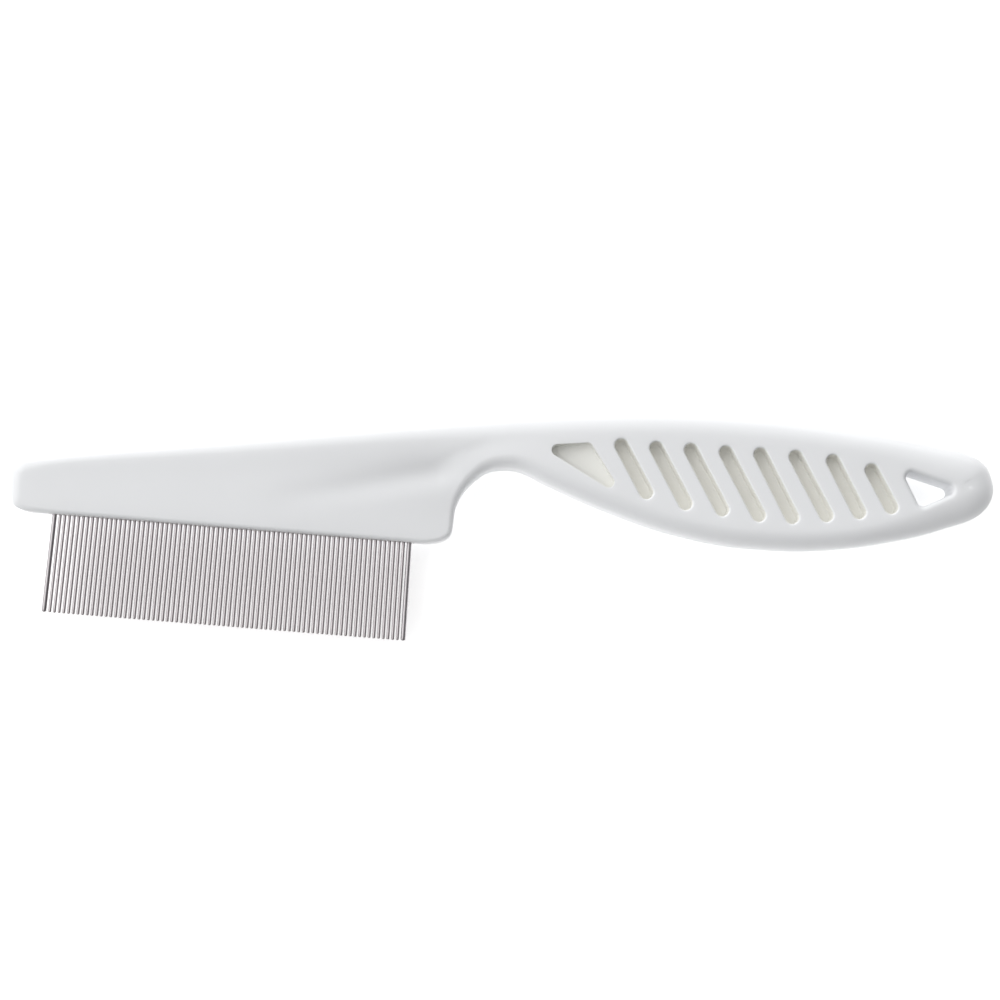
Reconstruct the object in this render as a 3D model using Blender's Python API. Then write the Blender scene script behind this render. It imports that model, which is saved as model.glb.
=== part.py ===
"""Flea comb: a one-piece plastic handle, a plastic strip in its head, and 77 steel teeth held by the strip.

The comb lies flat. +Z points up through its broad face, +X runs from the free end of the head to the
end of the grip, and the teeth point along -Y. The part's origin is under the middle of its box.
Sizes are in millimetres and are turned into metres where a shape is made. They are measured from the
root of the first tooth, in the plane that splits the handle into a front and a back half.
"""

import math

import bmesh
import bpy
from mathutils import Matrix, Vector
from mathutils.geometry import interpolate_bezier

MM = 0.001

# Where the root of the first tooth lies in the part's own frame.
GRIP_HALF_THICKNESS = 5.0
ROOT_AT = Vector((-76.4, -5.33, GRIP_HALF_THICKNESS))

# The handle's outline, clockwise from the lower corner of the head's free end. Each anchor has its place,
# the heading of the outline there in degrees, the radius of the rounded rim and half the thickness.
HANDLE_ANCHORS = (
    (-3.0, 0.5, 180.0, 0.8, 2.3),
    (-5.8, 0.8, 165.0, 0.8, 2.3),
    (-7.35, 2.3, 100.0, 0.8, 2.3),
    (-7.8, 6.9, 91.0, 1.0, 2.6),
    (-5.5, 9.6, 12.0, 1.6, 2.7),
    (24.7, 14.9, 9.5, 2.4, 3.1),
    (57.5, 20.55, 9.3, 3.3, 4.4),
    (86.1, 25.05, 6.8, 4.3, 5.0),
    (103.0, 26.65, 3.5, 4.3, 5.0),
    (119.0, 27.05, -0.6, 4.3, 5.0),
    (135.0, 26.2, -5.2, 4.2, 5.0),
    (150.0, 24.4, -8.4, 3.8, 4.8),
    (156.4, 23.15, -20.0, 3.6, 4.5),
    (159.8, 20.3, -68.0, 3.4, 4.3),
    (160.6, 16.9, -95.0, 3.4, 4.3),
    (158.2, 12.8, -142.0, 3.4, 4.5),
    (152.5, 10.15, -157.0, 3.2, 4.8),
    (141.6, 6.75, -165.5, 3.0, 5.0),
    (130.0, 4.65, -173.0, 3.0, 5.0),
    (119.0, 4.18, 180.0, 3.0, 5.0),
    (106.3, 5.5, 170.0, 3.0, 5.0),
    (93.5, 8.85, 163.0, 3.0, 5.0),
    (83.5, 12.45, 158.5, 2.8, 5.0),
    (77.4, 14.45, 180.0, 2.4, 5.0),
    (72.3, 12.85, -138.0, 1.8, 4.4),
    (69.3, 9.1, -115.0, 1.2, 3.0),
    (68.45, 5.5, -91.0, 0.8, 2.5),
    (68.3, 3.0, -95.0, 0.8, 2.3),
    (65.6, 0.8, -168.0, 0.8, 2.3),
    (62.8, 0.5, 180.0, 0.8, 2.3),
)
OUTLINE_STEPS = 6
RIM_STEPS = 3

# Eight blind slots cross each face of the grip: the centres of their upper and lower ends.
SLOT_ENDS = (
    ((96.05, 19.65), (100.9, 12.0)),
    ((102.05, 19.65), (107.7, 10.65)),
    ((107.95, 19.8), (114.0, 10.1)),
    ((113.95, 19.85), (120.3, 9.65)),
    ((119.85, 20.0), (126.0, 9.75)),
    ((125.9, 20.05), (131.8, 10.55)),
    ((132.3, 19.85), (137.35, 11.5)),
    ((139.0, 18.8), (142.75, 12.8)),
)
SLOT_RADIUS = 1.15
SLOT_DEPTH = 3.4
SLOT_ARC_STEPS = 6

# The blind recess beside the neck and the hanging hole at the end: corners with their radii.
RECESS_CORNERS = ((76.5, 19.4, 1.65), (90.95, 19.8, 1.1), (95.0, 12.7, 0.3))
RECESS_DEPTH = 2.4
HOLE_CORNERS = ((145.0, 18.85, 0.5), (155.2, 16.9, 0.9), (147.9, 13.8, 0.5))
CORNER_STEPS = 4
CUT_OVERRUN = 2.0

# The row of teeth. Its pitch is that of the thin teeth, and the row opens a little towards the tips.
THIN_TEETH = 75
TOOTH_PITCH = 0.8
END_TOOTH_GAP = 0.97
ROW_LENGTH = 2 * END_TOOTH_GAP + (THIN_TEETH - 1) * TOOTH_PITCH
ROW_FAN = math.radians(1.0)
ROOT_Y = 0.5
TIP_Y = -16.4
THIN_RADIUS = 0.27
END_RADIUS = 0.41
TIP_ROUNDING = ((0.0, 0.45), (0.12, 0.85), (0.35, 1.0))
CROWN_Y = 2.6
END_ROOT_Y = 2.6

# The strip that holds the roots, and the channel for it in the underside of the head.
STRIP_END_MARGIN = 0.9
STRIP_TOP_Y = 2.2
STRIP_HALF_THICKNESS = 0.95
STRIP_CLEARANCE = 0.2
CHANNEL_TOP_Y = 3.2
TOOTH_CLEARANCE = 0.05
HOLE_SIDES = 8


def clear_scene():
    for item in list(bpy.data.objects):
        bpy.data.objects.remove(item)


def new_collection(name):
    collection = bpy.data.collections.new(name)
    bpy.context.scene.collection.children.link(collection)
    return collection


def plain_material(name, colour, roughness, metallic):
    made = bpy.data.materials.new(name)
    made.use_nodes = True
    shader = made.node_tree.nodes["Principled BSDF"]
    shader.inputs["Base Color"].default_value = (*colour, 1.0)
    shader.inputs["Roughness"].default_value = roughness
    shader.inputs["Metallic"].default_value = metallic
    return made


def link_mesh(name, mesh, collection, material=None):
    made = bpy.data.objects.new(name, mesh)
    made.location = ROOT_AT * MM
    if material is not None and not mesh.materials:
        mesh.materials.append(material)
    collection.objects.link(made)
    return made


def link_cutter(name, mesh, collection):
    made = link_mesh(name, mesh, collection)
    made.hide_render = True
    made.display_type = "WIRE"
    return made


def cut(target, cutter):
    modifier = target.modifiers.new(cutter.name, "BOOLEAN")
    modifier.operation = "DIFFERENCE"
    modifier.solver = "EXACT"
    modifier.object = cutter


def heading_vector(degrees):
    return Vector((math.cos(math.radians(degrees)), math.sin(math.radians(degrees))))


def outline_points(anchors, steps):
    """Points along the closed outline through the anchors, each as (place, rim radius, half thickness)."""
    points = []
    for here, there in zip(anchors, anchors[1:] + anchors[:1]):
        start, end = Vector(here[:2]), Vector(there[:2])
        reach = (end - start).length * 0.36
        bezier = interpolate_bezier(
            start,
            start + heading_vector(here[2]) * reach,
            end - heading_vector(there[2]) * reach,
            end,
            steps + 1,
        )
        for step, place in enumerate(bezier[:-1]):
            share = step / steps
            rim = here[3] + (there[3] - here[3]) * share
            half = here[4] + (there[4] - here[4]) * share
            points.append((place.to_2d(), rim, half))
    return points


def inward(points, index):
    """The unit vector into the shape at one point of a clockwise outline."""
    along = points[(index + 1) % len(points)][0] - points[index - 1][0]
    return Vector((along.y, -along.x)).normalized()


def handle_blank_mesh():
    """The handle without its cuts: rings from the front face round the rim to the back face, and two caps."""
    points = outline_points(HANDLE_ANCHORS, OUTLINE_STEPS)
    quarter = [math.radians(90.0 * step / RIM_STEPS) for step in range(RIM_STEPS + 1)]
    rings = [(angle, 1) for angle in reversed(quarter)] + [(angle, -1) for angle in quarter]
    shape = bmesh.new()
    rows = []
    for angle, side in rings:
        row = []
        for index, (place, rim, half) in enumerate(points):
            inset = place + inward(points, index) * rim * (1.0 - math.cos(angle))
            height = side * (half - rim + rim * math.sin(angle))
            row.append(shape.verts.new((inset.x * MM, inset.y * MM, height * MM)))
        rows.append(row)
    for upper, lower in zip(rows, rows[1:]):
        for index in range(len(points)):
            after = (index + 1) % len(points)
            shape.faces.new((upper[index], upper[after], lower[after], lower[index]))
    caps = [shape.faces.new(rows[0]), shape.faces.new(rows[-1])]
    bmesh.ops.triangulate(shape, faces=caps)
    bmesh.ops.recalc_face_normals(shape, faces=shape.faces)
    mesh = bpy.data.meshes.new("handle_body")
    shape.to_mesh(mesh)
    shape.free()
    return mesh


def rounded_corners(corners, steps):
    """A closed outline through rounded corners, each given as (x, y, radius)."""
    points = []
    for index, (x, y, radius) in enumerate(corners):
        corner = Vector((x, y))
        before = (Vector(corners[index - 1][:2]) - corner).normalized()
        after = (Vector(corners[(index + 1) % len(corners)][:2]) - corner).normalized()
        half_angle = before.angle(after) / 2
        middle = corner + (before + after).normalized() * radius / math.sin(half_angle)
        start = corner + before * radius / math.tan(half_angle) - middle
        end = corner + after * radius / math.tan(half_angle) - middle
        for step in range(steps + 1):
            points.append(middle + start.slerp(end, step / steps))
    return points


def slot_outline(upper, lower):
    """A slot with round ends, as a closed outline."""
    upper, lower = Vector(upper), Vector(lower)
    along = (lower - upper).normalized()
    lean = math.atan2(along.y, along.x)
    points = []
    for centre, first in ((upper, lean + math.pi / 2), (lower, lean - math.pi / 2)):
        for step in range(SLOT_ARC_STEPS + 1):
            turn = first + math.pi * step / SLOT_ARC_STEPS
            points.append(centre + Vector((math.cos(turn), math.sin(turn))) * SLOT_RADIUS)
    return points


def prism_cutter(name, outline, bottom, top, collection):
    """A cutter with the given outline between two heights: a filled flat curve, made into a mesh."""
    data = bpy.data.curves.new(name + "_outline", "CURVE")
    data.dimensions = "2D"
    data.fill_mode = "BOTH"
    data.extrude = (top - bottom) / 2 * MM
    spline = data.splines.new("POLY")
    spline.points.add(len(outline) - 1)
    for point, place in zip(spline.points, outline):
        point.co = (place.x * MM, place.y * MM, 0.0, 1.0)
    spline.use_cyclic_u = True
    flat = bpy.data.objects.new(name + "_outline", data)
    flat.location = (0.0, 0.0, (bottom + top) / 2 * MM)
    collection.objects.link(flat)
    bpy.context.view_layer.update()
    graph = bpy.context.evaluated_depsgraph_get()
    mesh = bpy.data.meshes.new_from_object(flat.evaluated_get(graph))
    mesh.transform(flat.matrix_world)
    bpy.data.objects.remove(flat)
    shape = bmesh.new()
    shape.from_mesh(mesh)
    bmesh.ops.remove_doubles(shape, verts=shape.verts, dist=1e-6)
    bmesh.ops.recalc_face_normals(shape, faces=shape.faces)
    shape.to_mesh(mesh)
    shape.free()
    return link_cutter(name, mesh, collection)


def box_mesh(name, low, high):
    shape = bmesh.new()
    bmesh.ops.create_cube(shape, size=1.0)
    size = Vector(high) - Vector(low)
    middle = (Vector(high) + Vector(low)) / 2
    bmesh.ops.scale(shape, vec=size * MM, verts=shape.verts)
    bmesh.ops.translate(shape, vec=middle * MM, verts=shape.verts)
    mesh = bpy.data.meshes.new(name)
    shape.to_mesh(mesh)
    shape.free()
    return mesh


def make_handle(parts, cutters, material):
    handle = link_mesh("handle_body", handle_blank_mesh(), parts, material)
    face = GRIP_HALF_THICKNESS
    for side, word in ((1, "front"), (-1, "back")):
        for number, (upper, lower) in enumerate(SLOT_ENDS, 1):
            heights = sorted((side * (face - SLOT_DEPTH), side * (face + CUT_OVERRUN)))
            outline = slot_outline(upper, lower)
            cut(handle, prism_cutter(f"slot_{word}_{number}", outline, *heights, cutters))
        heights = sorted((side * (face - RECESS_DEPTH), side * (face + CUT_OVERRUN)))
        outline = rounded_corners(RECESS_CORNERS, CORNER_STEPS)
        cut(handle, prism_cutter(f"recess_{word}", outline, *heights, cutters))
    outline = rounded_corners(HOLE_CORNERS, CORNER_STEPS)
    through = face + CUT_OVERRUN
    cut(handle, prism_cutter("hanging_hole", outline, -through, through, cutters))
    margin = STRIP_END_MARGIN + STRIP_CLEARANCE
    wide = STRIP_HALF_THICKNESS + STRIP_CLEARANCE
    low = (-margin, ROOT_Y - CUT_OVERRUN, -wide)
    high = (ROW_LENGTH + margin, CHANNEL_TOP_Y, wide)
    cut(handle, link_cutter("strip_channel", box_mesh("strip_channel", low, high), cutters))
    return handle


def tooth_lean(x):
    """The angle of a tooth from the row's own direction: none at the middle, the fan at each end."""
    return ROW_FAN * (x / (ROW_LENGTH / 2) - 1.0)


def tooth_frame(x):
    """The place and turn of a tooth, or a pair, whose root is at x."""
    return Matrix.Translation(Vector((x, ROOT_Y, 0.0)) * MM) @ Matrix.Rotation(tooth_lean(x), 4, "Z")


def teeth_places():
    """Every tooth as (x of its root, radius), along the row."""
    thin = [(END_TOOTH_GAP + TOOTH_PITCH * count, THIN_RADIUS) for count in range(THIN_TEETH)]
    return [(0.0, END_RADIUS), *thin, (ROW_LENGTH, END_RADIUS)]


def make_strip(parts, cutters, material):
    low = (-STRIP_END_MARGIN, ROOT_Y, -STRIP_HALF_THICKNESS)
    high = (ROW_LENGTH + STRIP_END_MARGIN, STRIP_TOP_Y, STRIP_HALF_THICKNESS)
    strip = link_mesh("tooth_bar", box_mesh("tooth_bar", low, high), parts, material)
    shape = bmesh.new()
    length = STRIP_TOP_Y - ROOT_Y + 2 * CUT_OVERRUN
    lengthways = Matrix.Translation((0.0, (STRIP_TOP_Y - ROOT_Y) / 2 * MM, 0.0)) @ Matrix.Rotation(
        math.pi / 2, 4, "X"
    )
    for x, radius in teeth_places():
        bmesh.ops.create_cone(
            shape,
            cap_ends=True,
            segments=HOLE_SIDES,
            radius1=(radius + TOOTH_CLEARANCE) * MM,
            radius2=(radius + TOOTH_CLEARANCE) * MM,
            depth=length * MM,
            matrix=tooth_frame(x) @ lengthways,
        )
    bmesh.ops.recalc_face_normals(shape, faces=shape.faces)
    mesh = bpy.data.meshes.new("tooth_holes")
    shape.to_mesh(mesh)
    shape.free()
    cut(strip, link_cutter("tooth_holes", mesh, cutters))
    return strip


def leg_points(x, radius, top):
    """One leg of wire from its rounded tip up to its top, as (x, y, share of the radius)."""
    tip = TIP_Y - ROOT_Y
    return [(x, tip + rise * radius / THIN_RADIUS, share) for rise, share in TIP_ROUNDING] + [
        (x, top - ROOT_Y, 1.0)
    ]


def wire_mesh(name, points, radius, collection):
    """A round wire through the points, made from a bevelled curve."""
    data = bpy.data.curves.new(name + "_wire", "CURVE")
    data.dimensions = "3D"
    data.bevel_depth = radius * MM
    data.bevel_resolution = 1
    data.use_fill_caps = True
    spline = data.splines.new("POLY")
    spline.points.add(len(points) - 1)
    for point, (x, y, share) in zip(spline.points, points):
        point.co = (x * MM, y * MM, 0.0, 1.0)
        point.radius = share
    wire = bpy.data.objects.new(name + "_wire", data)
    collection.objects.link(wire)
    bpy.context.view_layer.update()
    graph = bpy.context.evaluated_depsgraph_get()
    mesh = bpy.data.meshes.new_from_object(wire.evaluated_get(graph))
    bpy.data.objects.remove(wire)
    shape = bmesh.new()
    shape.from_mesh(mesh)
    bmesh.ops.remove_doubles(shape, verts=shape.verts, dist=1e-6)
    bmesh.ops.recalc_face_normals(shape, faces=shape.faces)
    shape.to_mesh(mesh)
    shape.free()
    return mesh


def place_teeth(name, mesh, x, collection, material):
    made = link_mesh(name, mesh, collection, material)
    made.matrix_world = Matrix.Translation(ROOT_AT * MM) @ tooth_frame(x)
    return made


def make_teeth(parts, material):
    """Thin teeth in pairs, each pair one bent wire, with a single one in the middle, and two end teeth."""
    half = TOOTH_PITCH / 2
    left = leg_points(-half, THIN_RADIUS, CROWN_Y)
    right = leg_points(half, THIN_RADIUS, CROWN_Y)
    pair = wire_mesh("tooth_pair", left + right[::-1], THIN_RADIUS, parts)
    single = wire_mesh("tooth_middle", leg_points(0.0, THIN_RADIUS, CROWN_Y), THIN_RADIUS, parts)
    thick = wire_mesh("tooth_end", leg_points(0.0, END_RADIUS, END_ROOT_Y), END_RADIUS, parts)
    pairs_each_side = THIN_TEETH // 4
    pairs = THIN_TEETH // 2
    number = 0
    x = END_TOOTH_GAP
    while number < pairs:
        if number == pairs_each_side and x < ROW_LENGTH / 2:
            place_teeth("tooth_middle", single, x, parts, material)
            x += TOOTH_PITCH
        number += 1
        place_teeth(f"tooth_pair_{number:02d}", pair, x + half, parts, material)
        x += 2 * TOOTH_PITCH
    place_teeth("tooth_end_left", thick, 0.0, parts, material)
    place_teeth("tooth_end_right", thick, ROW_LENGTH, parts, material)


def main():
    clear_scene()
    parts = new_collection("flea_comb")
    cutters = new_collection("cutters")
    white_plastic = plain_material("white_plastic", (0.80, 0.81, 0.82), 0.35, 0.0)
    strip_plastic = plain_material("strip_plastic", (0.74, 0.75, 0.76), 0.45, 0.0)
    steel = plain_material("steel", (0.62, 0.60, 0.61), 0.28, 1.0)
    make_handle(parts, cutters, white_plastic)
    make_strip(parts, cutters, strip_plastic)
    make_teeth(parts, steel)


main()
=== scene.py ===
"""The looks of a flea comb: white moulded plastic, a plastic strip and 77 round steel teeth."""

import math
from collections import namedtuple

import bmesh
import bpy
import numpy as np
from mathutils import Matrix, Vector
from mathutils.geometry import delaunay_2d_cdt, interpolate_bezier


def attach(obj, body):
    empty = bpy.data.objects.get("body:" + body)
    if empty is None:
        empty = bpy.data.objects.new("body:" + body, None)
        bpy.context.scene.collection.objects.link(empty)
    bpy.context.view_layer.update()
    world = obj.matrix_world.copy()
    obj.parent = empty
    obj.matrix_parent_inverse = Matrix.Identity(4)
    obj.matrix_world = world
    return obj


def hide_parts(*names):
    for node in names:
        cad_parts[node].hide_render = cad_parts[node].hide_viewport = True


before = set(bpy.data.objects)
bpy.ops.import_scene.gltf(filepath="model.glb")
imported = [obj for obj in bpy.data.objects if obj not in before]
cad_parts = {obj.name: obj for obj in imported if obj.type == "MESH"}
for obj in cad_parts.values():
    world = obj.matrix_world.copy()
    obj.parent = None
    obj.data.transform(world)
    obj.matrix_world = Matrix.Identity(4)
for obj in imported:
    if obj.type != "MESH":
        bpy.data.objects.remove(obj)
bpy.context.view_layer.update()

MM = 0.001

# The comb's own measure, in millimetres: from the root of the first tooth, in the plane between the
# halves.
GRIP_HALF_THICKNESS = 5.0
ROOT_AT = Vector((-76.4, -5.33, GRIP_HALF_THICKNESS))

# The handle's outline, clockwise: place, heading in degrees, radius of the rim, half the thickness.
HANDLE_ANCHORS = (
    (-3.0, 0.5, 180.0, 0.8, 2.3),
    (-5.8, 0.8, 165.0, 0.8, 2.3),
    (-7.35, 2.3, 100.0, 0.8, 2.3),
    (-7.8, 6.9, 91.0, 1.0, 2.6),
    (-5.5, 9.6, 12.0, 1.6, 2.7),
    (24.7, 14.9, 9.5, 2.4, 3.1),
    (57.5, 20.55, 9.3, 3.3, 4.4),
    (86.1, 25.05, 6.8, 4.3, 5.0),
    (103.0, 26.65, 3.5, 4.3, 5.0),
    (119.0, 27.05, -0.6, 4.3, 5.0),
    (135.0, 26.2, -5.2, 4.2, 5.0),
    (150.0, 24.4, -8.4, 3.8, 4.8),
    (156.4, 23.15, -20.0, 3.6, 4.5),
    (159.8, 20.3, -68.0, 3.4, 4.3),
    (160.6, 16.9, -95.0, 3.4, 4.3),
    (158.2, 12.8, -142.0, 3.4, 4.5),
    (152.5, 10.15, -157.0, 3.2, 4.8),
    (141.6, 6.75, -165.5, 3.0, 5.0),
    (130.0, 4.65, -173.0, 3.0, 5.0),
    (119.0, 4.18, 180.0, 3.0, 5.0),
    (106.3, 5.5, 170.0, 3.0, 5.0),
    (93.5, 8.85, 163.0, 3.0, 5.0),
    (83.5, 12.45, 158.5, 2.8, 5.0),
    (77.4, 14.45, 180.0, 2.4, 5.0),
    (72.3, 12.85, -138.0, 1.8, 4.4),
    (69.3, 9.1, -115.0, 1.2, 3.0),
    (68.45, 5.5, -91.0, 0.8, 2.5),
    (68.3, 3.0, -95.0, 0.8, 2.3),
    (65.6, 0.8, -168.0, 0.8, 2.3),
    (62.8, 0.5, 180.0, 0.8, 2.3),
)
HANDLE_REACH = 0.36
OUTLINE_SPACING = 0.45
LEAST_STEPS = 3
SMOOTHING_ROUNDS = 60
RIM_RINGS = 9

# The rim is wider than it is deep towards the grip's end and the head's free end: from x, to x, by
# how much.
GRIP_END_SPREAD = (138.0, 154.0, 0.4)
HEAD_END_SPREAD = (-3.5, -6.5, 1.0)

# The face takes its thickness from the nearest edge at the rim, and from all round the outline this
# many rim widths further in.
BLEND_WIDTHS = 2.5

# The face's triangles: how far apart their corners are, and how clear of the rim and of each lip
# they stay, as shares of that spacing and of LOOP_SPACING.
FACE_SPACING = 0.85
RIM_CLEARANCE = 0.4
LIP_CLEARANCE = 0.7
MERGE_DISTANCE = 1e-5
CHUNK = 2000

# Slots, recess and hanging hole: the centres of each slot's round ends, and corners with radii.
SLOT_ENDS = (
    ((96.05, 19.65), (100.9, 12.0)),
    ((102.05, 19.65), (107.7, 10.65)),
    ((107.95, 19.8), (114.0, 10.1)),
    ((113.95, 19.85), (120.3, 9.65)),
    ((119.85, 20.0), (126.0, 9.75)),
    ((125.9, 20.05), (131.8, 10.55)),
    ((132.3, 19.85), (137.35, 11.5)),
    ((139.0, 18.8), (142.75, 12.8)),
)
SLOT_RADIUS = 1.15
SLOT_DEPTH = 3.4
RECESS_CORNERS = ((76.5, 19.4, 1.65), (90.95, 19.8, 1.1), (95.0, 12.7, 0.3))
RECESS_DEPTH = 2.4
HOLE_CORNERS = ((145.0, 18.85, 0.5), (155.2, 16.9, 0.9), (147.9, 13.8, 0.5))

# Each lip's radius, and for a wall how far it slopes in and the radius at its foot.
SLOT_LIP = 0.35
RECESS_LIP = 0.1
HOLE_LIP = 0.8
SLOT_WALL = (0.12, 0.3)
RECESS_WALL = (0.05, 0.1)
LOOP_SPACING = 0.18
LEAST_LOOP_POINTS = 12
CORNER_STEPS = 16
SLOT_END_STEPS = 14
LIP_STEPS = 6
WALL_STEPS = 3
FILLET_STEPS = 4

# The handle's material slots: the outer plastic, then a lighter, warmer copy of it inside the slots
# and a warmer one in the recess, painted light standing in for light bounced inside them and, in
# the slots, coming through the thin web; and the share of a lip's drop that keeps the outer one.
OUTER, INNER_PAINTED_LIGHT, RECESSED_PAINTED_LIGHT = 0, 1, 2
OUTER_LIP_SHARE = 0.5

# The shallow crease that runs from the neck's underside into the head.
CREASE = ((69.1, 13.5), (60.35, 11.6), (36.0, 5.6))
CREASE_DEPTH = 0.65
CREASE_WIDTH = 2.1
CREASE_FADE_IN = 0.12
CREASE_FADE_OUT = 0.8

# The channel in the underside of the head, and the row of teeth in it.
ROOT_Y = 0.5
TIP_Y = -16.4
THIN_TEETH = 75
TOOTH_PITCH = 0.8
END_TOOTH_GAP = 0.97
ROW_LENGTH = 2 * END_TOOTH_GAP + (THIN_TEETH - 1) * TOOTH_PITCH
ROW_FAN = math.radians(1.0)
THIN_RADIUS = 0.27
END_RADIUS = 0.41
CROWN_Y = 2.6
CHANNEL_MARGIN = 1.1
CHANNEL_HALF = 1.15
CHANNEL_TOP_Y = 3.2
ON_ROOT_LINE = 0.02

# A pin's domed tip, as a share of its radius and from which turn it starts, and its straight shaft.
PIN_SIDES = 20
PIN_TURNS = [2 * math.pi * step / PIN_SIDES for step in range(PIN_SIDES)]
DOME_HEIGHT = 0.75
DOME_START = 0.12
DOME_ROWS = 7
SHAFT_START = 1.2
SHAFT_ROWS = 8

# The bend that joins a pair: its rise and its thickness beside the pins', and how far it sinks in.
CROWN_ROWS = 13
CROWN_RISE = 0.3
CROWN_THICKNESS = 0.98
CROWN_OVERLAP = 0.02
UP = Vector((0, 0, 1))

# Edges that turn by more than this stay sharp.
HANDLE_SHARP = math.radians(40)
PIN_SHARP = math.radians(50)

# How the materials vary: where the noise turns dim and full, and each noise's scale and detail.
TONE_TURN = (0.3, 0.7)
PLASTIC_CLOUDS = (60.0, 4.0)
PLASTIC_SKIN = (2600.0, 3.0)
STEEL_LINES = (1.0, 3.0)
STEEL_STRETCH = (9000.0, 250.0, 9000.0)

# The camera: its distance and tilt from straight above, its roll, and what it looks at.
CAMERA_DISTANCE = 450.0
CAMERA_TILT = math.radians(5.0)
CAMERA_ROLL = math.radians(4.58)
LOOK_AT = Vector((76.106, 9.093, 0.0))
SEEN_WIDTH = 172.25
SENSOR = 36.0
CLIP_START = 0.01

# The light, in metres and watts: where the dome is bright, how it turns from dim to bright and its
# levels, then the wide key at the upper left and the low strip beside the handle's spine.
DOME_AXIS = (-0.66, 0.57, 0.35)
DOME_TURN = (-0.2, 0.45)
DOME_LEVELS = (0.14, 1.0)
KEY_POWER = 2.6
KEY_AT = (-0.65, 0.16, 0.7)
KEY_SIZE = 0.7
SPINE_AT = (0.0, 0.8, 0.09)
SPINE_SIZE = (1.2, 0.12)
SPINE_POWER = 1.3

# The floor glows a little, and lies just below the handle's flat back.
FLOOR_SIZE = 1.6
FLOOR_SEGMENTS = 8
FLOOR_GLOW = 0.5
FLOOR_DROP = 0.1


def to_frame(x, y, z):
    return (Vector((x, y, z)) + ROOT_AT) * MM


def heading_vector(degrees):
    return Vector((math.cos(math.radians(degrees)), math.sin(math.radians(degrees))))


def outline_points(anchors):
    """Evenly spaced points along the closed outline: places, rim radii and half thicknesses."""
    places, rims, halves = [], [], []
    for here, there in zip(anchors, anchors[1:] + anchors[:1]):
        start, end = Vector(here[:2]), Vector(there[:2])
        reach = (end - start).length * HANDLE_REACH
        steps = max(LEAST_STEPS, round((end - start).length / OUTLINE_SPACING))
        bezier = interpolate_bezier(
            start,
            start + heading_vector(here[2]) * reach,
            end - heading_vector(there[2]) * reach,
            end,
            steps + 1,
        )
        for step, place in enumerate(bezier[:-1]):
            share = step / steps
            places.append((place.x, place.y))
            rims.append(here[3] + (there[3] - here[3]) * share)
            halves.append(here[4] + (there[4] - here[4]) * share)
    return np.array(places), smooth_loop(np.array(rims)), smooth_loop(np.array(halves))


def smooth_loop(values):
    for _ in range(SMOOTHING_ROUNDS):
        values = (np.roll(values, 1) + 2 * values + np.roll(values, -1)) / 4
    return values


def inward_normals(loop):
    """Unit normals: inwards on a clockwise loop, outwards on a counter-clockwise one."""
    along = np.roll(loop, -1, axis=0) - np.roll(loop, 1, axis=0)
    inward = np.stack([along[:, 1], -along[:, 0]], axis=1)
    return inward / np.linalg.norm(inward, axis=1)[:, None]


def rim_widths(loop, rims):
    """How far in from the outline the rounded rim reaches."""
    spread = np.ones(len(loop))
    for begins, ends, extra in (GRIP_END_SPREAD, HEAD_END_SPREAD):
        share = np.clip((loop[:, 0] - begins) / (ends - begins), 0, 1)
        spread += extra * share**2 * (3 - 2 * share)
    return smooth_loop(rims * spread)


OUTLINE, RIMS, HALVES = outline_points(HANDLE_ANCHORS)
WIDTHS = rim_widths(OUTLINE, RIMS)


def chunks(points):
    """Slices that take the points a few at a time, to keep the arrays small."""
    return [slice(first, first + CHUNK) for first in range(0, len(points), CHUNK)]


def loop_distance(points, loop):
    """Each point's distance from a closed loop, and the nearest place on it as (index, share)."""
    ahead = np.roll(loop, -1, axis=0) - loop
    best = np.zeros(len(points))
    where = np.zeros(len(points), int)
    share = np.zeros(len(points))
    for chunk in chunks(points):
        offset = points[chunk][:, None] - loop[None]
        along = np.clip((offset * ahead).sum(2) / (ahead**2).sum(1), 0, 1)
        gap = np.linalg.norm(offset - along[..., None] * ahead, axis=2)
        nearest = gap.argmin(1)
        rows = np.arange(len(nearest))
        best[chunk] = gap[rows, nearest]
        where[chunk] = nearest
        share[chunk] = along[rows, nearest]
    return best, where, share


def inside_loop(points, loop):
    ahead = np.roll(loop, -1, axis=0)
    crossings = np.zeros(len(points), int)
    for (x0, y0), (x1, y1) in zip(loop, ahead):
        if y0 == y1:
            continue
        spans = (points[:, 1] >= min(y0, y1)) & (points[:, 1] < max(y0, y1))
        crossing_x = x0 + (points[:, 1] - y0) / (y1 - y0) * (x1 - x0)
        crossings += spans & (points[:, 0] < crossing_x)
    return crossings % 2 == 1


def mean_value(points, loop, values):
    """Values along a loop spread smoothly over the points inside it."""
    out = np.zeros(len(points))
    for chunk in chunks(points):
        offset = loop[None] - points[chunk][:, None]
        reach = np.maximum(np.linalg.norm(offset, axis=2), 1e-6)
        after = np.roll(offset, -1, axis=1)
        cross = offset[..., 0] * after[..., 1] - offset[..., 1] * after[..., 0]
        dot = (offset * after).sum(2)
        half_tan = np.tan(np.arctan2(cross, dot) / 2)
        weight = (np.roll(half_tan, 1, axis=1) + half_tan) / reach
        out[chunk] = (weight * values).sum(1) / weight.sum(1)
    return out


def segment_distance(points, start, end):
    start, end = np.array(start), np.array(end)
    ahead = end - start
    along = np.clip(((points - start) @ ahead) / (ahead @ ahead), 0, 1)
    return np.linalg.norm(points - start - along[:, None] * ahead, axis=1), along


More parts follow.
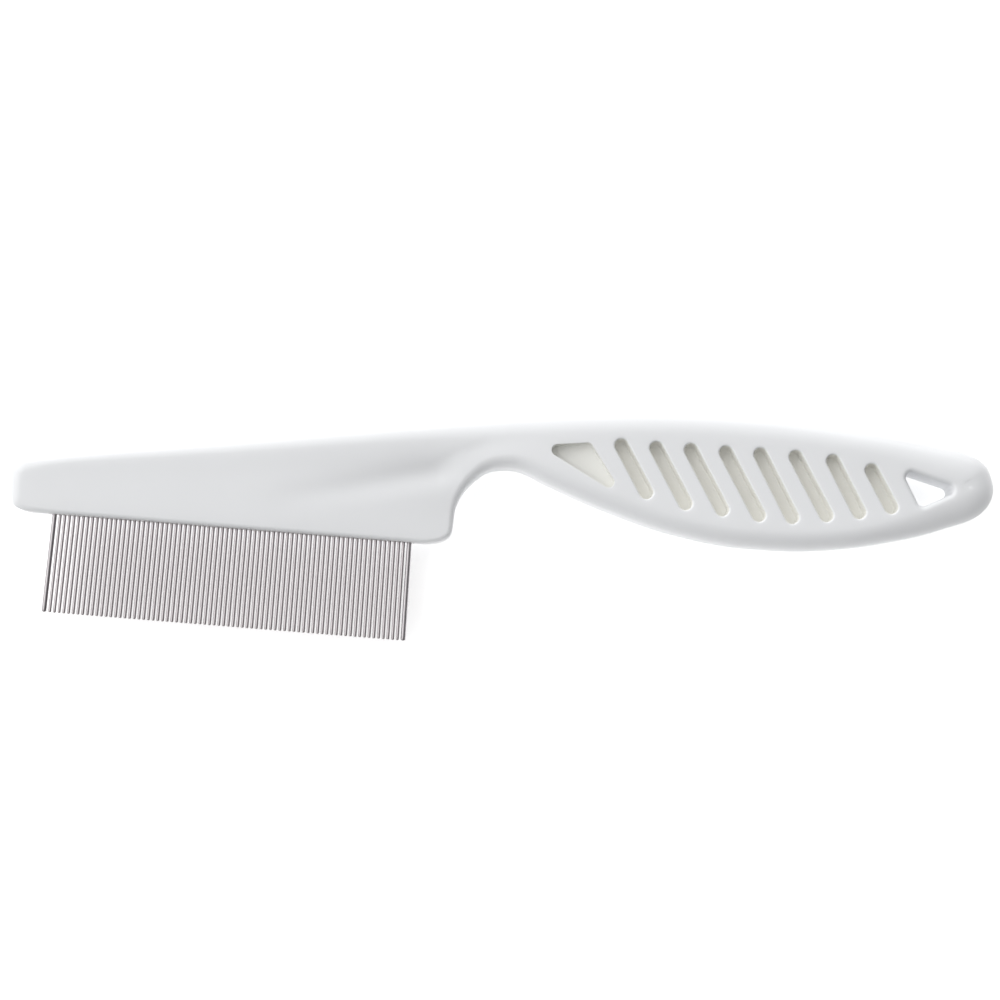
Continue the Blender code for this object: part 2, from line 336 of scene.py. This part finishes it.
def crease_depth(points):
    """How far the crease lowers the face: deepest near the neck, gone at its far end."""
    best = np.full(len(points), np.inf)
    travelled = np.zeros(len(points))
    walked = 0.0
    for start, end in zip(CREASE, CREASE[1:]):
        length = math.dist(start, end)
        gap, along = segment_distance(points, start, end)
        closer = gap < best
        best = np.where(closer, gap, best)
        travelled = np.where(closer, walked + along * length, travelled)
        walked += length
    share = travelled / walked
    fade_in = np.clip(share / CREASE_FADE_IN, 0, 1)
    fade = fade_in * np.clip((1 - share) / CREASE_FADE_OUT, 0, 1)
    return CREASE_DEPTH * fade * np.exp(-((best / CREASE_WIDTH) ** 2))


def face_height(points):
    """Height of the front face above the middle plane, with the rounded rim."""
    gap, where, share = loop_distance(points, OUTLINE)
    after = (where + 1) % len(OUTLINE)
    rim = RIMS[where] * (1 - share) + RIMS[after] * share
    width = WIDTHS[where] * (1 - share) + WIDTHS[after] * share
    edge_half = HALVES[where] * (1 - share) + HALVES[after] * share
    spread = mean_value(points, OUTLINE, HALVES)
    blend = np.clip(gap / (BLEND_WIDTHS * width), 0, 1)
    blend = blend**2 * (3 - 2 * blend)
    half = edge_half * (1 - blend) + spread * blend
    short = np.clip(1 - gap / width, 0, 1)
    return half - rim * (1 - np.sqrt(1 - short**2)) - crease_depth(points)


def resample(loop, spacing):
    """The same closed loop with evenly spaced points."""
    loop = np.array(loop)
    ahead = np.roll(loop, -1, axis=0)
    lengths = np.linalg.norm(ahead - loop, axis=1)
    total = lengths.sum()
    count = max(LEAST_LOOP_POINTS, round(total / spacing))
    stations = np.concatenate([[0], np.cumsum(lengths)])
    targets = np.arange(count) * total / count
    closed = np.vstack([loop, loop[:1]])
    return np.stack([np.interp(targets, stations, closed[:, k]) for k in range(2)], axis=1)


def rounded_corners(corners):
    """The outline of a polygon whose corners are given as x, y and radius."""
    points = []
    for index, (x, y, radius) in enumerate(corners):
        corner = Vector((x, y))
        before = (Vector(corners[index - 1][:2]) - corner).normalized()
        after = (Vector(corners[(index + 1) % len(corners)][:2]) - corner).normalized()
        half_angle = before.angle(after) / 2
        middle = corner + (before + after).normalized() * radius / math.sin(half_angle)
        start = corner + before * radius / math.tan(half_angle) - middle
        end = corner + after * radius / math.tan(half_angle) - middle
        for step in range(CORNER_STEPS + 1):
            point = middle + start.slerp(end, step / CORNER_STEPS)
            points.append((point.x, point.y))
    return points


def slot_outline(upper, lower):
    """The outline of a slot with round ends about these two centres."""
    upper, lower = Vector(upper), Vector(lower)
    along = (lower - upper).normalized()
    lean = math.atan2(along.y, along.x)
    points = []
    for centre, first in ((upper, lean + math.pi / 2), (lower, lean - math.pi / 2)):
        for step in range(SLOT_END_STEPS + 1):
            turn = first + math.pi * step / SLOT_END_STEPS
            x = centre.x + math.cos(turn) * SLOT_RADIUS
            points.append((x, centre.y + math.sin(turn) * SLOT_RADIUS))
    return points


def counter_clockwise(loop):
    x, y = loop[:, 0], loop[:, 1]
    area = (x * np.roll(y, -1) - np.roll(x, -1) * y).sum()
    return loop if area > 0 else loop[::-1]


def grown(loop, amount):
    """A counter-clockwise loop moved outwards by the amount, or inwards if it is negative."""
    return loop + inward_normals(loop) * amount


# A slot, the recess or the hanging hole: where its lip starts on the face, its depth or None if it
# goes through, the radius of its lip, its wall, and the material slot of its inside.
Opening = namedtuple("Opening", "edge depth lip wall tone")


class Handle:
    """Collects the handle's vertices and faces, front half first and the back as its mirror."""

    def __init__(self):
        self.shape = bmesh.new()

    def vert(self, x, y, z):
        return self.shape.verts.new(to_frame(x, y, z))

    def ring(self, loop, heights):
        return [self.vert(x, y, z) for (x, y), z in zip(loop, heights)]

    def strip(self, first, second, tone, flip=False):
        """A closed band of faces between two rings of vertices."""
        for index in range(len(first)):
            after = (index + 1) % len(first)
            corners = (first[index], first[after], second[after], second[index])
            made = self.shape.faces.new(corners[::-1] if flip else corners)
            made.material_index = tone


def lip_profile(lip):
    """(inward offset, drop) round a lip, from the face to the top of the wall."""
    turns = [math.pi / 2 * step / LIP_STEPS for step in range(LIP_STEPS + 1)]
    return [(lip * math.sin(turn), lip * (1 - math.cos(turn))) for turn in turns]


def blind_profile(depth, lip, wall):
    """(inward offset, drop) from the face, round the lip and down the sloping wall to the floor."""
    profile = lip_profile(lip)
    slope, fillet = wall
    wall_end = depth - fillet
    for step in range(1, WALL_STEPS + 1):
        share = step / WALL_STEPS
        profile.append((lip + slope * share, lip + (wall_end - lip) * share))
    for step in range(1, FILLET_STEPS + 1):
        turn = math.pi / 2 * step / FILLET_STEPS
        offset = lip + slope + fillet * (1 - math.cos(turn))
        profile.append((offset, wall_end + fillet * math.sin(turn)))
    return profile


def make_openings():
    """The slots, the recess and the hanging hole, in that order."""
    recess, hole = rounded_corners(RECESS_CORNERS), rounded_corners(HOLE_CORNERS)
    features = [(slot_outline(*ends), SLOT_DEPTH, SLOT_LIP, SLOT_WALL, INNER_PAINTED_LIGHT) for ends in SLOT_ENDS]
    features.append((recess, RECESS_DEPTH, RECESS_LIP, RECESS_WALL, RECESSED_PAINTED_LIGHT))
    features.append((hole, None, HOLE_LIP, None, OUTER))
    openings = []
    for outline, depth, lip, wall, tone in features:
        loop = counter_clockwise(resample(outline, LOOP_SPACING))
        openings.append(Opening(grown(loop, lip), depth, lip, wall, tone))
    return openings


def face_points(openings):
    """Rings of points over the rim and a staggered grid inside it, clear of every opening."""
    normals = inward_normals(OUTLINE)
    rings = []
    for step in range(1, RIM_RINGS + 1):
        turn = math.pi / 2 * step / RIM_RINGS
        rings.append(OUTLINE + normals * (WIDTHS * (1 - math.cos(turn)))[:, None])
    lows, highs = OUTLINE.min(0), OUTLINE.max(0)
    columns, rows = (np.arange(low, high, FACE_SPACING) for low, high in zip(lows, highs))
    grid = np.stack(np.meshgrid(columns, rows), -1).reshape(-1, 2)
    odd_row = np.round((grid[:, 1] - lows[1]) / FACE_SPACING) % 2 == 1
    grid[:, 0] += np.where(odd_row, FACE_SPACING / 2, 0)
    grid = grid[inside_loop(grid, OUTLINE)]
    gap, where, _ = loop_distance(grid, OUTLINE)
    grid = grid[gap > WIDTHS[where] + FACE_SPACING * RIM_CLEARANCE]
    points = np.vstack([*rings, grid])
    points = points[inside_loop(points, OUTLINE)]
    for opening in openings:
        gap, _, _ = loop_distance(points, opening.edge)
        clear = ~inside_loop(points, opening.edge) & (gap > LOOP_SPACING * LIP_CLEARANCE)
        points = points[clear]
    return points


def triangulate_face(openings):
    """Places, faces, and which places lie in turn along the outline and each opening's edge."""
    loops = [OUTLINE] + [opening.edge for opening in openings]
    points, edges, starts = [], [], []
    for loop in loops:
        start = len(points)
        starts.append(start)
        points += [Vector(point) for point in loop]
        edges += [(start + i, start + (i + 1) % len(loop)) for i in range(len(loop))]
    points += [Vector(point) for point in face_points(openings)]
    places, _, faces, origin, _, _ = delaunay_2d_cdt(points, edges, [], 1, MERGE_DISTANCE)
    places = np.array([tuple(place) for place in places])
    middles = np.array([places[list(face)].mean(0) for face in faces])
    keep = inside_loop(middles, OUTLINE)
    for opening in openings:
        keep &= ~inside_loop(middles, opening.edge)
    faces = [face for face, kept in zip(faces, keep) if kept]
    place_of = {}
    for index, sources in enumerate(origin):
        for source in sources:
            place_of[source] = index
    along = [[place_of[start + i] for i in range(len(loop))] for loop, start in zip(loops, starts)]
    return places, faces, along


def sink_opening(handle, side, opening, ring, heights):
    """Lip, wall and floor of an opening, down from its ring on the face. Returns the last ring."""
    edge, depth, lip, wall, tone = opening
    profile = blind_profile(depth, lip, wall) if depth else lip_profile(lip)
    for inset, drop in profile[1:]:
        level = heights - drop
        if drop > lip:
            share = (drop - lip) / (depth - lip)
            floor = GRIP_HALF_THICKNESS - depth
            level = (heights - lip) * (1 - share) + floor * share
        after = handle.ring(grown(edge, -inset), side * level)
        handle.strip(ring, after, tone if drop > lip * OUTER_LIP_SHARE else OUTER, flip=side == -1)
        ring = after
    if depth:
        cap = handle.shape.faces.new(ring if side == 1 else ring[::-1])
        cap.material_index = tone
        bmesh.ops.triangulate(handle.shape, faces=[cap])
    return ring


def build_half(handle, side, places, heights, faces):
    """The front face of the handle (side 1) or the back one (side -1). Returns its vertices."""
    verts = [None] * len(places)
    for index in {i for face in faces for i in face}:
        verts[index] = handle.vert(*places[index], side * heights[index])
    for face in faces:
        corners = [verts[i] for i in face]
        handle.shape.faces.new(corners if side == 1 else corners[::-1])
    return verts


def build_handle():
    handle = Handle()
    openings = make_openings()
    places, faces, (outline, *edges) = triangulate_face(openings)
    heights = face_height(places)
    bands, hole_ends = [], []
    for side in (1, -1):
        verts = build_half(handle, side, places, heights, faces)
        bands.append([verts[i] for i in outline])
        for opening, edge in zip(openings, edges):
            ring = [verts[i] for i in edge]
            last = sink_opening(handle, side, opening, ring, heights[edge])
            if not opening.depth:
                hole_ends.append(last)
    handle.strip(*hole_ends, OUTER)
    side_band(handle, *bands)
    bmesh.ops.recalc_face_normals(handle.shape, faces=handle.shape.faces)
    mesh = bpy.data.meshes.new("handle_shell")
    handle.shape.to_mesh(mesh)
    handle.shape.free()
    return mesh


def side_band(handle, front, back):
    """The flat band round the handle's edge, left open where the channel for the strip goes in."""
    low, high = -CHANNEL_MARGIN, ROW_LENGTH + CHANNEL_MARGIN
    in_channel = [abs(y - ROOT_Y) < ON_ROOT_LINE and low <= x <= high for x, y in OUTLINE]
    upper, lower = {}, {}
    for index, (x, y) in enumerate(OUTLINE):
        if in_channel[index]:
            upper[index] = handle.vert(x, y, CHANNEL_HALF)
            lower[index] = handle.vert(x, y, -CHANNEL_HALF)
    face = handle.shape.faces.new
    opened = []
    for index in range(len(OUTLINE)):
        after = (index + 1) % len(OUTLINE)
        corners = [front[index], front[after], back[after], back[index]]
        if in_channel[index] and in_channel[after]:
            face((front[index], front[after], upper[after], upper[index]))
            face((lower[index], lower[after], back[after], back[index]))
            opened.append((index, after))
        elif in_channel[after]:
            face(corners[:2] + [upper[after], lower[after]] + corners[2:])
        elif in_channel[index]:
            face(corners + [lower[index], upper[index]])
        else:
            face(corners)
    deep = {}
    for index in sorted({i for pair in opened for i in pair}):
        x = OUTLINE[index][0]
        deep[index] = [handle.vert(x, CHANNEL_TOP_Y, z) for z in (CHANNEL_HALF, -CHANNEL_HALF)]
    for index, after in opened:
        face((upper[index], upper[after], deep[after][0], deep[index][0]))
        face((deep[index][1], deep[after][1], lower[after], lower[index]))
        face((deep[index][0], deep[after][0], deep[after][1], deep[index][1]))
    for index in (opened[0][0], opened[-1][1]):
        face((upper[index], deep[index][0], deep[index][1], lower[index]))


def tooth_lean(x):
    return ROW_FAN * (x / (ROW_LENGTH / 2) - 1.0)


def tooth_matrix(x):
    turn = Matrix.Rotation(tooth_lean(x), 4, "Z")
    return Matrix.Translation((Vector((x, ROOT_Y, 0.0)) + ROOT_AT) * MM) @ turn


def skin_over(shape, rings):
    """Faces over a row of rings of vertices, closed at both ends."""
    for first, second in zip(rings, rings[1:]):
        for step in range(PIN_SIDES):
            after = (step + 1) % PIN_SIDES
            shape.faces.new((first[step], first[after], second[after], second[step]))
    shape.faces.new(rings[0])
    shape.faces.new(rings[-1])


def add_pin(shape, x, radius, top):
    """One round pin along Y with a domed tip, about its own root."""
    tip = TIP_Y - ROOT_Y
    dome = radius * DOME_HEIGHT
    rows = [
        (tip + dome * (1 - math.cos(turn)), radius * math.sin(turn))
        for turn in np.linspace(DOME_START, math.pi / 2, DOME_ROWS)
    ]
    rows += [(y, radius) for y in np.linspace(tip + dome + SHAFT_START, top, SHAFT_ROWS)]
    rings = []
    for y, size in rows:
        ring = [(x + size * math.cos(turn), y, size * math.sin(turn)) for turn in PIN_TURNS]
        rings.append([shape.verts.new(point) for point in ring])
    skin_over(shape, rings)


def add_crown(shape, half, radius, y):
    """The bend inside the head that joins the two pins of a pair."""
    rings = []
    for bend in np.linspace(0, math.pi, CROWN_ROWS):
        rise = half * math.sin(bend) * CROWN_RISE
        centre = Vector((-half * math.cos(bend), y + rise, 0.0))
        outward = Vector((-math.cos(bend), math.sin(bend), 0.0)).normalized()
        offsets = [outward * math.cos(turn) + UP * math.sin(turn) for turn in PIN_TURNS]
        ring = [centre + offset * radius * CROWN_THICKNESS for offset in offsets]
        rings.append([shape.verts.new(point) for point in ring])
    skin_over(shape, rings)


def pin_mesh(name, roots, radius, crowned):
    """The pins of one node, about the middle of their roots, with or without the bend."""
    shape = bmesh.new()
    for x in roots:
        add_pin(shape, x, radius, CROWN_Y - ROOT_Y)
    if crowned:
        add_crown(shape, abs(roots[0]), radius, CROWN_Y - ROOT_Y - CROWN_OVERLAP)
    bmesh.ops.recalc_face_normals(shape, faces=shape.faces)
    bmesh.ops.scale(shape, vec=(MM, MM, MM), verts=shape.verts)
    mesh = bpy.data.meshes.new(name)
    shape.to_mesh(mesh)
    shape.free()
    return mesh


def smooth(mesh, angle):
    """Shade the mesh smooth, but for edges that turn by more than the angle."""
    mesh.polygons.foreach_set("use_smooth", [True] * len(mesh.polygons))
    shape = bmesh.new()
    shape.from_mesh(mesh)
    for edge in shape.edges:
        sharp = len(edge.link_faces) == 2 and edge.calc_face_angle(0.0) > angle
        edge.smooth = not sharp
    shape.to_mesh(mesh)
    shape.free()


def new_material(name):
    made = bpy.data.materials.new(name)
    made.use_nodes = True
    return made, made.node_tree, made.node_tree.nodes["Principled BSDF"]


def set_inputs(node, values):
    for name, value in values.items():
        node.inputs[name].default_value = value


def add_node(tree, kind, values=None, **settings):
    """A new node with these input values and settings."""
    made = tree.nodes.new(kind)
    for name, value in settings.items():
        setattr(made, name, value)
    set_inputs(made, values or {})
    return made


def add_noise(tree, where, scale_and_detail):
    scale, detail = scale_and_detail
    noise = add_node(tree, "ShaderNodeTexNoise", {"Scale": scale, "Detail": detail})
    tree.links.new(where, noise.inputs["Vector"])
    return noise.outputs["Fac"]


def vary_tone(tree, shader, noise, base, dimmest):
    """The colour wanders with the noise between the base and a share of it."""
    tint = add_node(tree, "ShaderNodeValToRGB")
    dim, full = tint.color_ramp.elements
    dim.position, full.position = TONE_TURN
    dim.color = (*[c * dimmest for c in base], 1.0)
    full.color = (*base, 1.0)
    tree.links.new(noise, tint.inputs["Fac"])
    tree.links.new(tint.outputs["Color"], shader.inputs["Base Color"])


def vary_gloss(tree, shader, noise, smoothest, roughest):
    gloss = add_node(tree, "ShaderNodeMapRange", {"To Min": smoothest, "To Max": roughest})
    tree.links.new(noise, gloss.inputs["Value"])
    tree.links.new(gloss.outputs["Result"], shader.inputs["Roughness"])


def add_skin(tree, shader, noise, strength, height):
    bump = add_node(tree, "ShaderNodeBump", {"Strength": strength, "Distance": height})
    tree.links.new(noise, bump.inputs["Height"])
    tree.links.new(bump.outputs["Normal"], shader.inputs["Normal"])


def moulded_plastic(name, base, roughness):
    """White moulded plastic: faint clouds in the colour, an uneven gloss and a very fine skin."""
    made, tree, shader = new_material(name)
    where = add_node(tree, "ShaderNodeTexCoord").outputs["Object"]
    clouds = add_noise(tree, where, PLASTIC_CLOUDS)
    vary_tone(tree, shader, clouds, base, dimmest=0.985)
    vary_gloss(tree, shader, clouds, roughness - 0.04, roughness + 0.06)
    add_skin(tree, shader, add_noise(tree, where, PLASTIC_SKIN), strength=0.12, height=0.00002)
    set_inputs(
        shader,
        {
            "IOR": 1.5,
            "Subsurface Weight": 0.12,
            "Subsurface Radius": (1.0, 1.0, 1.0),
            "Subsurface Scale": 0.0012,
        },
    )
    return made


def drawn_steel(name, base, roughness):
    """Drawn wire: fine lines along its length in the gloss and the skin, and a change of tone."""
    made, tree, shader = new_material(name)
    where = add_node(tree, "ShaderNodeTexCoord").outputs["Object"]
    stretch = add_node(tree, "ShaderNodeMapping", {"Scale": STEEL_STRETCH})
    tree.links.new(where, stretch.inputs["Vector"])
    lines = add_noise(tree, stretch.outputs["Vector"], STEEL_LINES)
    vary_tone(tree, shader, lines, base, dimmest=0.92)
    vary_gloss(tree, shader, lines, roughness - 0.05, roughness + 0.08)
    add_skin(tree, shader, lines, strength=0.15, height=0.000008)
    set_inputs(shader, {"Metallic": 1.0})
    return made


def place(name, mesh, material, slot, node, matrix=None):
    made = bpy.data.objects.new(name, mesh)
    bpy.context.scene.collection.objects.link(made)
    if matrix is not None:
        made.matrix_world = matrix
    if not mesh.materials:
        mesh.materials.append(material)
    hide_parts(node)
    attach(made, "root")
    return made


def make_pieces():
    white = moulded_plastic("white_plastic_looks", (0.865, 0.875, 0.89), 0.32)
    # The slots' inside gets a lighter, warmer copy of the plastic: painted light, standing in for
    # light that comes through the thin web and bounces inside the slots.
    inner_painted_light = moulded_plastic("white_plastic_inner_painted_light_looks", (0.95, 0.945, 0.905), 0.5)
    # The recess gets a warmer copy of the plastic: painted light, standing in for warm light
    # bounced inside it.
    recess = moulded_plastic("white_plastic_recess_painted_light_looks", (0.88, 0.88, 0.85), 0.5)
    strip = moulded_plastic("strip_plastic_looks", (0.80, 0.80, 0.79), 0.5)
    steel = drawn_steel("steel_looks", (0.49, 0.455, 0.465), 0.34)
    # The end pins get a darker, glossier steel than the others.
    darker_end_steel = drawn_steel("end_steel_looks", (0.40, 0.38, 0.39), 0.28)

    shell = build_handle()
    smooth(shell, HANDLE_SHARP)
    place("handle_shell", shell, white, "white_plastic", "handle_body")
    shell.materials.append(inner_painted_light)
    shell.materials.append(recess)

    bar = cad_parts["tooth_bar"]
    bar.data.materials.clear()
    bar.data.materials.append(strip)

    half = TOOTH_PITCH / 2
    pair = pin_mesh("pin_pair", (-half, half), THIN_RADIUS, True)
    single = pin_mesh("pin_single", (0.0,), THIN_RADIUS, False)
    thick = pin_mesh("pin_thick", (0.0,), END_RADIUS, False)
    for mesh in (pair, single, thick):
        smooth(mesh, PIN_SHARP)
    pairs_each_side = THIN_TEETH // 4
    x = END_TOOTH_GAP
    for number in range(1, THIN_TEETH // 2 + 1):
        if number == pairs_each_side + 1:
            place("pin_middle", single, steel, "steel", "tooth_middle", tooth_matrix(x))
            x += TOOTH_PITCH
        name = f"tooth_pair_{number:02d}"
        place(f"pins_{number:02d}", pair, steel, "steel", name, tooth_matrix(x + half))
        x += 2 * TOOTH_PITCH
    place("pin_left", thick, darker_end_steel, "steel", "tooth_end_left", tooth_matrix(0.0))
    place("pin_right", thick, darker_end_steel, "steel", "tooth_end_right", tooth_matrix(ROW_LENGTH))


def make_floor():
    shape = bmesh.new()
    bmesh.ops.create_grid(
        shape, x_segments=FLOOR_SEGMENTS, y_segments=FLOOR_SEGMENTS, size=FLOOR_SIZE
    )
    mesh = bpy.data.meshes.new("floor")
    shape.to_mesh(mesh)
    shape.free()
    floor = bpy.data.objects.new("floor", mesh)
    floor.location.z = -FLOOR_DROP * MM
    bpy.context.scene.collection.objects.link(floor)
    material, _, shader = new_material("pale_floor")
    set_inputs(
        shader,
        {
            "Base Color": (0.95, 0.95, 0.95, 1.0),
            "Roughness": 0.8,
            "Specular IOR Level": 0.1,
            "Emission Color": (1.0, 1.0, 1.0, 1.0),
            "Emission Strength": FLOOR_GLOW,
        },
    )
    mesh.materials.append(material)


def area_light(name, place_at, aim, size, energy):
    data = bpy.data.lights.new(name, "AREA")
    data.shape = "RECTANGLE"
    data.size, data.size_y = size
    data.energy = energy
    lamp = bpy.data.objects.new(name, data)
    lamp.location = place_at
    lamp.rotation_euler = (Vector(aim) - Vector(place_at)).to_track_quat("-Z", "Y").to_euler()
    bpy.context.scene.collection.objects.link(lamp)


def make_lights():
    """A soft dome, bright to the upper left, with a wide key and a low strip beside the spine."""
    world = bpy.data.worlds.new("studio")
    world.use_nodes = True
    tree = world.node_tree
    link = tree.links.new
    back = tree.nodes["Background"]
    back.inputs["Color"].default_value = (1.0, 1.0, 1.0, 1.0)
    where = add_node(tree, "ShaderNodeTexCoord")
    side = add_node(tree, "ShaderNodeVectorMath", operation="DOT_PRODUCT")
    side.inputs[1].default_value = Vector(DOME_AXIS).normalized()
    link(where.outputs["Generated"], side.inputs[0])
    level = add_node(tree, "ShaderNodeMapRange", interpolation_type="SMOOTHSTEP")
    for ends, (low, high) in (("From", DOME_TURN), ("To", DOME_LEVELS)):
        set_inputs(level, {f"{ends} Min": low, f"{ends} Max": high})
    link(side.outputs["Value"], level.inputs["Value"])
    link(level.outputs["Result"], back.inputs["Strength"])
    bpy.context.scene.world = world
    bpy.context.scene.view_settings.view_transform = "Standard"
    area_light("key", KEY_AT, (0, 0, 0), (KEY_SIZE, KEY_SIZE), KEY_POWER)
    area_light("spine", SPINE_AT, (0, 0, 0), SPINE_SIZE, SPINE_POWER)


def make_camera():
    """Above the comb, tipped towards the teeth and rolled, looking at the middle of the view."""
    away = Vector((0.0, math.sin(CAMERA_TILT), -math.cos(CAMERA_TILT)))
    flat_right = Vector((1.0, 0.0, 0.0))
    flat_up = Vector((0.0, math.cos(CAMERA_TILT), math.sin(CAMERA_TILT)))
    right = math.cos(CAMERA_ROLL) * flat_right + math.sin(CAMERA_ROLL) * flat_up
    up = -math.sin(CAMERA_ROLL) * flat_right + math.cos(CAMERA_ROLL) * flat_up
    data = bpy.data.cameras.new("camera")
    data.sensor_width = SENSOR
    data.lens = SENSOR * CAMERA_DISTANCE / SEEN_WIDTH
    data.clip_start = CLIP_START
    camera = bpy.data.objects.new("camera", data)
    turn = Matrix((right, up, -away)).transposed().to_4x4()
    spot = to_frame(*LOOK_AT) - away * CAMERA_DISTANCE * MM
    camera.matrix_world = Matrix.Translation(spot) @ turn
    bpy.context.scene.collection.objects.link(camera)
    bpy.context.scene.camera = camera


make_pieces()
make_floor()
make_lights()
make_camera()
